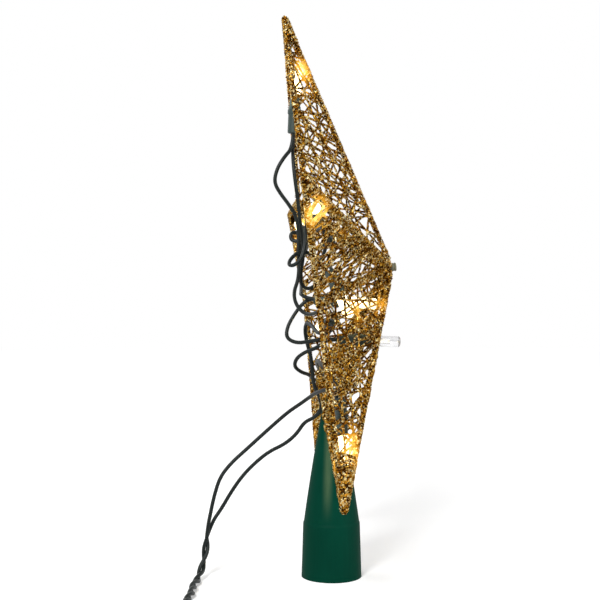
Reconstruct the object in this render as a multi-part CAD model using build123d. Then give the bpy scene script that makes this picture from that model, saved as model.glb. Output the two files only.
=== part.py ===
from build123d import *
import math
import os
import random

# A lighted five-point star for the top of a Christmas tree, in millimetres. +Z is up, the origin is the centre of
# the cone's rim on the surface it stands on, and the star faces -Y. Its left arm, seen from the front, is at -X.

# Star: a flat outline at the back, and ridges and valleys that rise to one apex at the front
tip_radius = 160.0
notch_radius = 61.0
star_depth = 51.5
star_lean = 5.5  # degrees, the top towards the back
star_behind_cone = 13.9  # from the cone's axis back to the middle of the outline
star_height = 185.5  # from the rim up to the middle of the outline
arm_bends = {"left": (0.0, 7.7, -6.6)}  # how far a bent arm's point stands from its regular place

# Frame wires, and the glittered yarn wound round them
wire_radius = 1.0
yarn_thickness = 0.7
yarn_slack = 0.05  # between a wire and its yarn
tip_length = 9.0  # how far the bound tip reaches from the star's point
tip_end_radius = 2.4
tip_base_half_width = 4.9
tip_base_half_depth = 3.4
tip_base_rise = 1.5  # the bound tip's middle stands this far in front of the outline
outline_wire_in_tip = 4.0  # where each wire ends, from the star's point
ridge_wire_in_tip = 6.5
tip_seat_gap = 0.1
bead_radius = 1.9  # welds at the notches
apex_ball_radius = 2.7
apex_cap_radius = 2.6
apex_cap_thickness = 1.0
apex_cap_round = 0.4
apex_wire_start = 3.0  # wires end this far from the apex
apex_yarn_start = 6.4
notch_wire_start = 2.0
notch_yarn_start = 3.4
joint_gap = 0.1

# Nets of stiff glittered thread, one on each of the ten front facets
net_thickness = 1.2
net_gap = 0.25  # between a net and the yarn on its edge wires
thread_half_width = 0.62
net_border = 1.0
thread_pitch = 9.2
thread_pitch_spread = 0.42
thread_headings = (12.0, 68.0, 127.0)
thread_heading_spread = 15.0
smallest_gap_area = 4.5
smallest_gap_side = 0.45
nets_stop_before_tip = 10.6

# Push-in lamps: a holder, a lamp base that plugs into it, and a clear lens with a dished end
holder_length = 14.5
holder_foot_radius = 3.6
holder_body_radius = 3.75
holder_rim_radius = 4.2
holder_rim_height = 2.4
holder_rim_slope = 0.6
holder_foot_edge = 0.5
holder_bore_radius = 2.9
holder_bore_depth = 10.0
stem_radius = 2.4
stem_length = 9.4
flange_radius = 3.7
flange_height = 1.6
flange_step = 0.4  # from the flange up to the collar
collar_radius = 3.35
collar_length = 8.5  # from the holder's rim to the lens, with the flange
collar_bore_depth = 3.5
lens_radius = 3.2
lens_root_radius = 2.35
lens_length = 15.0
lens_edge = 0.6
lens_dish_radius = 1.9
lens_dish_depth = 1.5
lens_core_radius = 1.1
lens_core_depth = 9.0
led_radius = 1.0
led_end_radius = 0.6
led_taper = 1.2
led_gap = 0.3  # between the post's end and the lens round it
lamp_clearance = 0.1
contact_thickness = 0.3
contact_width = 1.4
contact_length = 7.0
contact_gap = 0.05  # between a contact and the lamp's stem
contact_setback = 2.0  # from the holder's mouth
net_hole_clearance = 0.4  # round the front lamp's flange

# Wiring
cord_radius = 1.15
wire_spacing = 3.4  # between the two wires of a holder
wire_in_holder = 3.0
wire_hole_clearance = 0.06
pair_radius = 2.35
pair_wire_offset = 1.25
lead_end_gap = 0.35  # between the two single wires' ends and the paired lead

# Cone: a plain skirt over the tree's top shoot, then a bowed cone with a closed top
skirt_rim_radius = 18.5
skirt_top_radius = 17.5
skirt_height = 33.5
cone_foot_radius = 17.0
cone_foot_height = 34.4
cone_waist_radius = 11.6
cone_waist_height = 70.0
cone_top_radius = 4.4
cone_top_round = 1.0
socket_radius = 16.2
socket_length = 30.0
cone_wall = 1.4
hinge_height = 104.5
cone_above_hinge = 5.5
cone_solid_below_hinge = 7.5
hinge_clearance = 0.06
cone_height = hinge_height + cone_above_hinge
cone_plug_height = hinge_height - cone_solid_below_hinge
skirt_shoulder_height = 0.6
skirt_shoulder_width = 0.2

# The wire that carries the star, through the top of the cone and along both lower arms
mount_wire_straight = 9.0  # to each side of the cone's axis
mount_run_start = 34.0  # along the lower arm's edge, from the notch
mount_run_end = 52.0
mount_bend_radius = 8.0
clip_wall = 0.8
clip_width = 3.0
clip_gap = 0.08
first_clip_in = 5.0  # from either end of the wire's run along the arm
last_clip_in = 3.0

# Coil of the put-away lead, and the plug
coil_centre = (-124.0, 58.0)
coil_start_radius = 31.0
coil_pitch = 5.4
coil_turns = 3.25
coil_layer_rise = 5.3
plug_at = (-159.0, 16.0)  # the middle of the plug's end, where its cord comes in
plug_width = 24.0
plug_length = 30.0
plug_height = 13.0
plug_round = 2.5
plug_edge_round = 1.2
plug_neck_radius = 3.5
plug_neck_root_radius = 5.0
plug_neck_length = 9.0
plug_neck_overlap = 2.0
plug_cord_seat = 6.0  # the cord's depth in the neck
plug_cord_clearance = 0.05
blade_width = 6.35
blade_thickness = 1.5
blade_length = 17.0
blade_spacing = 12.7
blade_root = 6.0
blade_gap = 0.05
blade_drop = 2.4  # from the plug's middle height to the blades'
door_width = 11.0
door_lip = 1.2
door_length = 15.0
door_thickness = 1.2
door_lip_thickness = 0.9
door_clearance = 0.15
door_setback = 0.5
door_grips = 3
door_grip_height = 0.5
door_grip_width = 0.8
door_grip_spacing = 1.8
door_grip_setback = 2.5
door_grip_margin = 1.5
door_slot_extra = 1.0  # how far its slot runs on past the door
fuse_radius = 1.8
fuse_length = 10.0
fuse_spacing = 4.6
fuse_clearance = 0.15
fuse_setback = 2.2  # from the door's end nearest the cord
outlet_slot_depth = 8.0
outlet_slot_width = 7.0
outlet_slot_thickness = 1.9

os.makedirs("parts", exist_ok=True)

star_plane = Plane(
    origin=(0, star_behind_cone, star_height),
    x_dir=(1, 0, 0),
    z_dir=(0, -math.cos(math.radians(star_lean)), math.sin(math.radians(star_lean))),
)
yarn_radius = wire_radius + yarn_slack + yarn_thickness
arm_names = ("top", "left", "lower_left", "lower_right", "right")


def star_point(across, up, forward=0.0):
    """A point given in the star's own plane: across to +X, up its middle line, and out to the front."""
    return star_plane.from_local_coords(Vector(across, up, forward))


def star_direction(across, up, forward=0.0):
    return star_point(across, up, forward) - star_point(0, 0, 0)


def polar(radius, degrees):
    return radius * math.cos(math.radians(degrees)), radius * math.sin(math.radians(degrees))


arm_angles = [90 + 72 * k for k in range(5)]
tips = [
    star_point(*polar(tip_radius, a)) + Vector(*arm_bends.get(arm, (0, 0, 0))) for arm, a in zip(arm_names, arm_angles)
]
notches = [star_point(*polar(notch_radius, a + 36)) for a in arm_angles]  # notch k follows tip k
apex = star_point(0, 0, star_depth)


def write(name, *solids):
    """One node: its solids, as one STEP file."""
    export_step(solids[0] if len(solids) == 1 else Compound(children=list(solids)), f"parts/{name}.step")


def rod(start, end, radius):
    """A round bar between two points."""
    run = Vector(end) - Vector(start)
    return Solid.make_cylinder(radius, run.length, Plane(origin=start, z_dir=run))


def sleeve(start, end, inner, outer):
    return (rod(start, end, outer) - rod(start, end, inner)).solid()


def along(start, end, distance):
    """The point at a distance from start on the way to end."""
    return Vector(start) + (Vector(end) - Vector(start)).normalized() * distance


# ---- Frame wires and their yarn ----

outline_edges = []  # (tip, notch) of the ten straight runs of the outline
for k in range(5):
    outline_edges += [(tips[k], notches[k]), (tips[k], notches[k - 1])]


def tip_solid(k):
    """The bound point of an arm: blunt at the end, with seats for the three wires that meet in it."""
    outward = ((tips[k] - notches[k]).normalized() + (tips[k] - notches[k - 1]).normalized()).normalized()
    front = (star_plane.z_dir - outward * star_plane.z_dir.dot(outward)).normalized()
    base = Plane(origin=tips[k] - outward * tip_length + front * tip_base_rise, x_dir=front, z_dir=outward)
    end = Plane(origin=tips[k] + front * tip_base_rise / 4, x_dir=front, z_dir=outward)
    sections = [
        base * Face(Wire(Edge.make_ellipse(tip_base_half_depth, tip_base_half_width))),
        end * Face(Wire(Edge.make_circle(tip_end_radius))),
    ]
    body = loft(sections)
    for wire in (
        rod(along(tips[k], notches[k], outline_wire_in_tip - tip_seat_gap), notches[k], wire_radius + tip_seat_gap),
        rod(along(tips[k], notches[k - 1], outline_wire_in_tip - tip_seat_gap), notches[k - 1], wire_radius + tip_seat_gap),
        rod(along(tips[k], apex, ridge_wire_in_tip - tip_seat_gap), apex, wire_radius + tip_seat_gap),
    ):
        body = body - wire
    return max(body.solids(), key=lambda s: s.volume)


write("outline_wires", *[
    rod(along(t, n, outline_wire_in_tip), along(n, t, notch_wire_start), wire_radius) for t, n in outline_edges
])
write("ridge_wires", *[rod(along(t, apex, ridge_wire_in_tip), along(apex, t, apex_wire_start), wire_radius) for t in tips])
write("valley_wires", *[
    rod(along(n, apex, notch_wire_start), along(apex, n, apex_wire_start), wire_radius) for n in notches
])

yarn_from_tip = tip_length / math.cos(math.radians(18)) + yarn_radius * math.tan(math.radians(18)) + joint_gap
ridge_angle = math.atan(star_depth / tip_radius)
ridge_yarn_from_tip = (tip_length + joint_gap) / math.cos(ridge_angle) + yarn_radius * math.tan(ridge_angle)
write("outline_yarn", *[
    sleeve(along(t, n, yarn_from_tip), along(n, t, notch_yarn_start), wire_radius + yarn_slack, yarn_radius)
    for t, n in outline_edges
])
write("ridge_yarn", *[
    sleeve(along(t, apex, ridge_yarn_from_tip), along(apex, t, apex_yarn_start), wire_radius + yarn_slack, yarn_radius)
    for t in tips
])
write("valley_yarn", *[
    sleeve(along(n, apex, notch_yarn_start), along(apex, n, apex_yarn_start), wire_radius + yarn_slack, yarn_radius)
    for n in notches
])
write("bound_tips", *[tip_solid(k) for k in range(5)])
write("notch_welds", *[
    Pos(*n) * Solid.make_sphere(bead_radius) - [
        rod(along(n, other, notch_wire_start - joint_gap), along(n, other, 3 * bead_radius), wire_radius + joint_gap)
        for other in (tips[k], tips[(k + 1) % 5], apex)
    ]
    for k, n in enumerate(notches)
])
apex_plane = Plane(origin=apex, z_dir=star_plane.z_dir)
apex_cap = apex_plane.offset(apex_ball_radius - apex_cap_thickness) * Solid.make_cylinder(
    apex_cap_radius, apex_cap_thickness
)
apex_cap = fillet(apex_cap.edges().sort_by(Axis(apex, apex_plane.z_dir))[-1], apex_cap_round)
write("apex_knot", (Pos(*apex) * Solid.make_sphere(apex_ball_radius) + apex_cap).solid())


# ---- Nets ----

def part_beyond(polygon, normal, level):
    """The part of a convex polygon where normal . p is at least level."""
    kept = []
    for a, b in zip(polygon, polygon[1:] + polygon[:1]):
        da = a[0] * normal[0] + a[1] * normal[1] - level
        db = b[0] * normal[0] + b[1] * normal[1] - level
        if da >= 0:
            kept.append(a)
        if (da > 0) != (db > 0) and da != db:
            share = da / (da - db)
            kept.append((a[0] + (b[0] - a[0]) * share, a[1] + (b[1] - a[1]) * share))
    return kept


def inset(polygon, margins):
    """A convex polygon, counter-clockwise, with each side moved inwards by its own margin."""
    inner = polygon
    for a, b, margin in zip(polygon, polygon[1:] + polygon[:1], margins):
        length = math.dist(a, b)
        normal = ((a[1] - b[1]) / length, (b[0] - a[0]) / length)
        inner = part_beyond(inner, normal, a[0] * normal[0] + a[1] * normal[1] + margin)
        if len(inner) < 3:
            return []
    return inner


def area(polygon):
    return sum(a[0] * b[1] - b[0] * a[1] for a, b in zip(polygon, polygon[1:] + polygon[:1])) / 2


def tidy(polygon):
    """Without the corners that lie too near the one before."""
    kept = []
    for p in polygon:
        if not kept or math.dist(p, kept[-1]) > smallest_gap_side:
            kept.append(p)
    while len(kept) > 2 and math.dist(kept[0], kept[-1]) <= smallest_gap_side:
        kept.pop()
    return kept


def net_gaps(outline, seed):
    """The gaps that straight threads, wound across in three rough directions, leave in a convex outline."""
    rng = random.Random(seed)
    cells = [outline]
    for heading in thread_headings:
        normal = polar(1.0, heading + 90)
        reach = [p[0] * normal[0] + p[1] * normal[1] for p in outline]
        level = min(reach) + thread_pitch * rng.uniform(0.3, 0.9)
        while level < max(reach):
            tilted = polar(1.0, heading + 90 + rng.uniform(-thread_heading_spread, thread_heading_spread))
            middle = (sum(p[0] for p in outline) / len(outline), sum(p[1] for p in outline) / len(outline))
            shift = level - (middle[0] * normal[0] + middle[1] * normal[1])
            through = (middle[0] + normal[0] * shift, middle[1] + normal[1] * shift)
            cut = through[0] * tilted[0] + through[1] * tilted[1]
            halves = []
            for cell in cells:
                for side, side_level in ((tilted, cut), ((-tilted[0], -tilted[1]), -cut)):
                    half = part_beyond(cell, side, side_level)
                    if len(half) > 2:
                        halves.append(half)
            cells = halves
            level += thread_pitch * (1 + rng.uniform(-thread_pitch_spread, thread_pitch_spread))
    gaps = [tidy(inset(cell, [thread_half_width] * len(cell))) for cell in cells]
    return [g for g in gaps if len(g) > 2 and area(g) > smallest_gap_area]


def net(tip, notch, seed):
    """The net of one facet, flat between its ridge, valley and outline wires."""
    normal = (notch - tip).cross(apex - tip).normalized()
    if normal.dot(star_plane.z_dir) < 0:
        normal = -normal
    facet = Plane(origin=tip, x_dir=apex - tip, z_dir=normal)
    corners = [(p.X, p.Y) for p in (facet.to_local_coords(Vector(q)) for q in (tip, apex, notch))]
    inwards = Vector(corners[1][0] + corners[2][0], corners[1][1] + corners[2][1]).normalized()
    if area(corners) < 0:
        corners.reverse()
    outline = inset(corners, [yarn_radius + net_gap] * 3)
    outline = part_beyond(outline, (inwards.X, inwards.Y), nets_stop_before_tip)
    gaps = net_gaps(inset(outline, [net_border - thread_half_width] * len(outline)), seed)
    sheet = Face(
        Wire.make_polygon([Vector(*p) for p in outline], close=True),
        [Wire.make_polygon([Vector(*p) for p in g], close=True) for g in gaps],
    )
    solid = extrude(facet.offset(-net_thickness / 2) * sheet, amount=net_thickness, dir=normal).solid()
    return solid, len(gaps)


nets = {}
for k, arm in enumerate(arm_names):
    for side, notch in (("a", notches[k]), ("b", notches[k - 1])):
        nets[f"net_{arm}_{side}"], count = net(tips[k], notch, seed=len(nets) + 1)
        print(f"net_{arm}_{side}: {count} gaps")


# ---- Lamps ----

def arm_point(k, outward, across=0.0, forward=0.0):
    """A point on arm k: outward from the star's middle, across its middle line and in front of the outline."""
    x, y = polar(outward, arm_angles[k])
    dx, dy = polar(across, arm_angles[k] + 90)
    return star_point(x + dx, y + dy, forward)


lamp_length = holder_length + collar_length + lens_length
wedge = 31.0  # the lens of an arm's lamp reaches this near the star's point
foot_out = tip_radius - wedge - lamp_length
lamp_places = {  # the middle of the holder's foot, where the lens points, and the direction in which its wires lie
    "top": (arm_point(0, foot_out - 3, -2.0, -1.2), arm_point(0, tip_radius - wedge - 3, 0, 4.6), (1, 0, 0)),
    "left": (Vector(-33.5, 14.6, 222.6), Vector(-71.5, 15.2, 220.8), (0, 0, 1)),
    "lower_left": (arm_point(2, foot_out, 0, 7.0), arm_point(2, tip_radius - wedge, 0, 4.1), (0, 1, 0)),
    "lower_right": (arm_point(3, foot_out, 0, 7.0), arm_point(3, tip_radius - wedge, 0, 4.1), (0, 1, 0)),
    "right": (arm_point(4, foot_out, 0, 6.0), arm_point(4, tip_radius - wedge, 0, 4.1), (0, 1, 0)),
    "upper_middle": (Vector(-22, 4.5, 204.5), Vector(15.5, -1.2, 208.3), (0, 0, 1)),
    "middle": (Vector(-4.8, 0.9, 186.4), Vector(-31.9, -7.4, 161.2), (0, 1, 0)),
    "forward": (Vector(-6.0, 10.8, 170.6), Vector(-17.6, -26.2, 167.6), (1, 0, 0)),
    "lower_middle": (Vector(-24, 2.5, 156.4), Vector(13.2, 6.3, 152.5), (0, 0, 1)),
    "front": (Vector(-24, -0.9, 146.6), Vector(-24, -38.9, 145.2), (1, 0, 0)),
}
lamp_planes = {}
for name, (foot, aim, spread) in lamp_places.items():
    axis = (aim - foot).normalized()
    spread = Vector(spread) - axis * Vector(spread).dot(axis)
    lamp_planes[name] = Plane(origin=foot, x_dir=spread, z_dir=axis)


def turned(profile):
    """A solid of revolution about Z from (radius, height) points that go round the section."""
    return revolve(Plane.XZ * make_face(Polyline(*profile, close=True)), Axis.Z).solid()


holder = turned([
    (0, 0), (holder_foot_radius - holder_foot_edge, 0), (holder_foot_radius, holder_foot_edge),
    (holder_body_radius, holder_length - holder_rim_height - holder_rim_slope),
    (holder_rim_radius, holder_length - holder_rim_height), (holder_rim_radius, holder_length),
    (holder_bore_radius, holder_length), (holder_bore_radius, holder_length - holder_bore_depth),
    (0, holder_length - holder_bore_depth),
])
for side in (-1, 1):
    hole = Solid.make_cylinder(cord_radius + wire_hole_clearance, holder_length - holder_bore_depth + 1)
    holder = (holder - Pos(side * wire_spacing / 2, 0, -0.5) * hole).solid()
contacts = [
    Pos(side * (stem_radius + contact_gap + contact_thickness / 2), 0, holder_length - contact_length / 2 - contact_setback)
    * Solid.make_box(contact_thickness, contact_width, contact_length).moved(
        Location((-contact_thickness / 2, -contact_width / 2, -contact_length / 2))
    )
    for side in (-1, 1)
]
seat = holder_length + lamp_clearance
lens_foot = holder_length + collar_length
lamp_base = turned([
    (0, seat - stem_length), (stem_radius, seat - stem_length), (stem_radius, seat), (flange_radius, seat),
    (flange_radius, seat + flange_height), (collar_radius, seat + flange_height + flange_step), (collar_radius, lens_foot),
    (lens_root_radius + lamp_clearance, lens_foot), (lens_root_radius + lamp_clearance, lens_foot - collar_bore_depth),
    (0, lens_foot - collar_bore_depth),
])
lens_top = lens_foot + lens_length
lens = turned([
    (lens_core_radius, lens_foot - collar_bore_depth + lamp_clearance),
    (lens_root_radius, lens_foot - collar_bore_depth + lamp_clearance), (lens_root_radius, lens_foot + lamp_clearance),
    (lens_radius, lens_foot + lamp_clearance), (lens_radius, lens_top - lens_edge), (lens_radius - lens_edge, lens_top),
    (lens_dish_radius, lens_top), (0, lens_top - lens_dish_depth), (0, lens_foot + lens_core_depth),
    (lens_core_radius, lens_foot + lens_core_depth),
])
led_top = lens_foot + lens_core_depth - led_gap
led = turned([
    (0, lens_foot - collar_bore_depth + lamp_clearance), (led_radius, lens_foot - collar_bore_depth + lamp_clearance),
    (led_radius, led_top - led_taper), (led_end_radius, led_top), (0, led_top),
])
for name, plane in lamp_planes.items():
    write(f"lamp_holder_{name}", plane * holder)
others = [plane for name, plane in lamp_planes.items() if name != "front"]
front = lamp_planes["front"]
write("lamp_bases", *[plane * lamp_base for plane in others])
write("lamp_lenses", *[plane * lens for plane in others])
write("led_posts", *[plane * led for plane in others])
write("front_lamp_base", front * lamp_base)
write("front_lamp_lens", front * lens)
write("front_led_post", front * led)
write("holder_contacts", *[plane * c for plane in lamp_planes.values() for c in contacts])

front_hole = front * Pos(0, 0, holder_length) * Solid.make_cylinder(
    flange_radius + net_hole_clearance, collar_length + lens_length
)


# ---- Wiring ----

def exit_points(lamp, side, run=9.0):
    """Where a wire ends inside a holder, and where its straight run out of the foot ends. side is -1 or 1."""
    plane = lamp_planes[lamp]
    return [plane.from_local_coords(Vector(side * wire_spacing / 2, 0, z)) for z in (wire_in_holder, -run)]


def route_tube(name, points, radius):
    """A round tube along straight runs and tangent arcs, each arc as large as its two runs allow."""
    points = [Vector(p) for p in points]
    radii = []
    for a, b, c in zip(points, points[1:], points[2:]):
        turn = math.radians((b - a).get_angle(c - b))
        radii.append(0.45 * min((b - a).length, (c - b).length) / math.tan(turn / 2))
    path = FilletPolyline(*points, radius=radii)
    section = Plane(origin=points[0], z_dir=points[1] - points[0]) * Circle(radius)
    tube = sweep(section, path=path).solid()
    turns = [(b - a).get_angle(c - b) for a, b, c in zip(points, points[1:], points[2:])]
    ratio = tube.volume / (math.pi * radius**2 * path.length)
    print(f"{name}: {path.length:.0f} mm, tightest radius {min(radii):.1f}, sharpest turn {max(turns):.0f}, volume {ratio:.4f}")
    return tube


wiring = {
    "wire_1_top_to_lower_middle": [
        *exit_points("top", -1),
        (-4.2, 29.5, 257.5), (-4.6, 34.0, 250.0), (-4.4, 35.6, 242.0), (-3.4, 31.8, 235.4), (-2.4, 26.2, 228.4),
        (-1.2, 21.6, 221.0), (-0.2, 20.2, 211.5), (0.4, 20.4, 201.0), (0.6, 20.0, 191.5), (-0.6, 20.6, 182.5),
        (-4.2, 23.6, 175.0), (-9.4, 22.8, 167.8), (-14.0, 18.2, 162.0), (-21.0, 13.4, 161.5), (-30.0, 10.8, 163.0),
        (-38.0, 9.6, 164.8), (-44.0, 8.6, 164.2), (-47.4, 5.4, 162.0), (-45.2, 2.2, 159.4), (-39.4, 1.6, 158.6),
        *reversed(exit_points("lower_middle", 1, 8.0)),
    ],
    "wire_2_top_to_middle": [
        *exit_points("top", 1, 10.0),
        (1.2, 22.8, 246.0), (2.6, 20.6, 232.0), (3.6, 19.2, 218.0), (4.2, 17.0, 205.5), (4.6, 17.4, 194.0),
        (4.6, 19.0, 186.5), (6.2, 18.4, 179.4), (9.8, 14.0, 176.6), (12.2, 8.4, 179.6), (12.0, 4.0, 186.2),
        (8.4, 2.2, 191.6), *reversed(exit_points("middle", -1, 7.0)),
    ],
    "wire_3_middle_to_left": [
        *exit_points("middle", 1, 6.0),
        (2.2, 9.0, 195.4), (-0.6, 14.4, 199.6), (-4.2, 20.2, 199.6), (-6.6, 25.2, 195.8), (-9.2, 27.2, 191.6),
        (-12.6, 24.4, 190.6), (-13.6, 19.6, 194.4), (-12.4, 17.2, 201.6), (-10.8, 16.6, 210.0), (-11.8, 16.0, 218.2),
        (-17.6, 15.4, 223.6), *reversed(exit_points("left", 1, 8.0)),
    ],
    "wire_4_left_to_upper_middle": [
        *exit_points("left", -1, 8.0),
        (-18.8, 13.6, 219.0), (-16.6, 12.4, 213.2), (-20.6, 11.6, 208.6), (-28.0, 11.2, 209.4), (-35.6, 10.4, 211.8),
        (-42.0, 8.6, 210.8), (-43.8, 6.4, 206.4), (-38.2, 5.6, 204.0), *reversed(exit_points("upper_middle", 1, 8.0)),
    ],
    "wire_5_upper_middle_to_right": [
        *exit_points("upper_middle", -1, 8.0),
        (-36.8, 7.0, 199.4), (-40.6, 9.0, 194.2), (-37.0, 11.4, 188.6), (-28.6, 12.2, 187.0), (-19.4, 12.0, 190.2),
        (-10.0, 11.8, 195.8), (-1.6, 11.6, 201.8), (4.8, 13.0, 206.2), (8.0, 18.6, 206.6), (9.4, 24.6, 207.0),
        (10.4, 24.8, 212.2), (11.4, 19.8, 212.6), (12.4, 19.2, 206.8), (16.4, 17.6, 200.8), (26.0, 15.8, 198.6),
        (39.0, 14.0, 200.6), (53.0, 12.2, 204.4), (66.0, 10.0, 207.4), *reversed(exit_points("right", -1)),
    ],
    "wire_6_right_to_forward": [
        *exit_points("right", 1),
        (62.0, 14.8, 202.0), (50.0, 16.2, 194.4), (37.0, 17.0, 186.4), (24.0, 17.2, 179.6), (13.2, 18.0, 176.0),
        (4.4, 18.6, 174.4), (-2.8, 19.2, 173.6), *reversed(exit_points("forward", -1, 4.0)),
    ],
    "wire_7_forward_to_front": [
        *exit_points("forward", 1, 4.0),
        (-3.2, 18.8, 167.2), (-4.4, 23.8, 160.4), (-6.2, 27.6, 153.6), (-8.6, 28.4, 147.0), (-14.2, 22.4, 144.0),
        (-19.4, 14.6, 145.4), *reversed(exit_points("front", 1, 8.0)),
    ],
    "wire_8_front_to_lower_right": [
        *exit_points("front", -1, 6.0),
        (-25.0, 10.6, 141.8), (-20.2, 16.8, 139.4), (-15.4, 22.4, 135.4), (-10.6, 23.8, 129.8), (-6.0, 18.8, 125.8),
        (1.2, 14.0, 124.2), (9.4, 11.4, 121.4), (19.0, 8.4, 119.0), (30.0, 4.6, 119.4), (40.0, 1.2, 121.4),
        *reversed(exit_points("lower_right", -1)),
    ],
    "wire_9_lower_right_to_lower_left": [
        *exit_points("lower_right", 1),
        (43.0, 4.4, 124.6), (30.0, 6.4, 127.4), (16.0, 8.0, 130.4), (2.0, 8.6, 133.2), (-12.0, 7.6, 131.4),
        (-26.0, 5.6, 128.8), (-40.0, 3.8, 125.2), *reversed(exit_points("lower_left", -1)),
    ],
}
lead_upper = [
    *exit_points("lower_left", 1, 7.0),
    (-45.0, 4.2, 119.0), (-35.0, 8.6, 117.2), (-24.0, 11.6, 114.8), (-14.0, 14.6, 111.4), (-8.0, 19.6, 107.0),
    (-4.0, 26.4, 102.0), (-1.6, 34.0, 95.2), (0.0, 43.6, 86.4), (0.6, 53.0, 77.8), (0.2, 61.4, 70.4),
    (-0.6, 68.4, 62.0), (-1.2, 72.0, 51.0), (-1.5, 74.4, 39.8), (-1.2, 76.2, 30.6),
]
lead_lower = [
    *exit_points("lower_middle", -1, 8.0),
    (-39.0, 2.4, 153.6), (-44.2, 5.2, 151.8), (-44.4, 9.6, 150.8), (-38.6, 12.0, 151.4), (-30.6, 13.2, 153.8),
    (-23.0, 15.2, 156.2), (-16.6, 16.8, 156.2), (-12.2, 17.2, 151.0),
    (-9.6, 15.6, 143.4), (-9.0, 13.2, 135.4), (-8.4, 12.4, 127.0), (-8.8, 11.9, 119.2), (-9.2, 8.2, 111.6),
    (-9.4, 6.4, 104.2), (-8.0, 10.8, 98.6), (-6.0, 17.2, 95.6), (-4.0, 21.8, 88.0), (-2.0, 29.0, 81.6),
    (0.6, 38.6, 76.8), (2.4, 47.4, 69.4), (3.4, 55.2, 61.2), (4.2, 61.8, 51.6), (3.8, 68.0, 41.0), (2.2, 73.4, 33.8),
]
pair_start = Vector(0, 76.8, 24.0)
pair_heading = Vector(0, 0.06, -1.0).normalized()
lead_upper.append(pair_start - pair_heading * lead_end_gap - Vector(pair_wire_offset, 0, 0))
lead_lower.append(pair_start - pair_heading * lead_end_gap + Vector(pair_wire_offset, 0, 0))
for name, points in {**wiring, "lead_upper": lead_upper, "lead_lower": lead_lower}.items():
    write(name, route_tube(name, points, cord_radius))


# ---- Paired lead, its coil and the plug ----

def coil_place(turn):
    """Where the coil's line is after so many turns, and its direction: in at a steady rate, up a layer, out again."""
    def at(t):
        inward = min(t, coil_turns - t)
        radius = coil_start_radius - coil_pitch * inward
        climb = min(max((t - coil_turns / 2) / 0.5 + 0.5, 0.0), 1.0)
        angle = math.radians(90 + 360 * t)
        return Vector(
            coil_centre[0] + radius * math.cos(angle),
            coil_centre[1] + radius * math.sin(angle),
            pair_radius + coil_layer_rise * climb * climb * (3 - 2 * climb),
        )
    step = 0.01
    ahead, behind = at(min(turn + step, coil_turns)), at(max(turn - step, 0.0))
    heading = (ahead - behind).normalized()
    if turn in (0.0, coil_turns):
        angle = math.radians(180 + 360 * turn)
        heading = Vector(math.cos(angle), math.sin(angle), 0)
    return at(turn), heading


def biarc(start, start_heading, end, end_heading):
    """Two tangent arcs from one point and direction to another."""
    run, total = end - start, start_heading + end_heading
    slack = 2 * (1 - start_heading.dot(end_heading))
    reach = run.dot(total)
    if slack < 1e-9:
        length = run.dot(run) / (2 * reach)
    else:
        length = (-reach + math.sqrt(reach * reach + slack * run.dot(run))) / slack
    middle = (start + end + (start_heading - end_heading) * length) * 0.5
    heading = (end - end_heading * length - start - start_heading * length).normalized()
    return [
        Edge.make_tangent_arc(start, start_heading, middle),
        Edge.make_tangent_arc(middle, heading, end),
    ]


quarters = round(coil_turns * 4)
places = [coil_place(q / 4) for q in range(quarters + 1)]
coil_in, coil_in_heading = places[0]
coil_out, coil_out_heading = places[-1]
coil_edges = [Edge.make_line(coil_in - coil_in_heading * 2 * pair_radius, coil_in)]
for (a, a_heading), (b, b_heading) in zip(places, places[1:]):
    coil_edges += biarc(a, a_heading, b, b_heading)
coil_edges.append(Edge.make_line(coil_out, coil_out + coil_out_heading * 2 * pair_radius))
coil_path = Wire(coil_edges)
coil_start = coil_in - coil_in_heading * 2 * pair_radius
coil_end = coil_out + coil_out_heading * 2 * pair_radius
coil = sweep(Plane(origin=coil_start, z_dir=coil_in_heading) * Circle(pair_radius), path=coil_path).solid()
samples = [coil_path.position_at(i / 1200) for i in range(1201)]
spacing = coil_path.length / 1200
least = min(
    (samples[i] - samples[j]).length
    for i in range(0, 1201, 3)
    for j in range(i + math.ceil(6 * pair_radius / spacing), 1201, 3)
)
print(f"lead_coil: {coil_path.length:.0f} mm, least gap {least - 2 * pair_radius:.2f}, volume "
      f"{coil.volume / (math.pi * pair_radius**2 * coil_path.length):.4f}")
write("lead_coil", coil)

floor = pair_radius
pair_route = [
    pair_start, pair_start + pair_heading * 8.0,
    (-2.6, 79.6, 6.4), (-12.0, 81.4, floor), (-27.0, 84.0, floor), (-45.0, 84.2, floor), (-66.0, 87.4, floor),
    (-92.0, coil_start.Y, floor), coil_start,
]
write("lead_pair", route_tube("lead_pair", pair_route, pair_radius))

plug_middle_height = plug_height / 2
tail_route = [
    coil_end, coil_end + coil_out_heading * 8.5, (-157.4, 37.4, 7.2), (plug_at[0], 30.6, plug_middle_height),
    (plug_at[0], plug_at[1] + plug_neck_length - plug_cord_seat, plug_middle_height),
]
plug_plane = Plane(origin=(*plug_at, 0), x_dir=(1, 0, 0), z_dir=(0, 0, 1))  # the body reaches from here to -Y


def block(width, length, height, x=0.0, y=0.0, z=0.0):
    """A box centred on x, from y towards -Y, and from z up."""
    return Solid.make_box(width, length, height).moved(Location((x - width / 2, y - length, z)))


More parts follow.
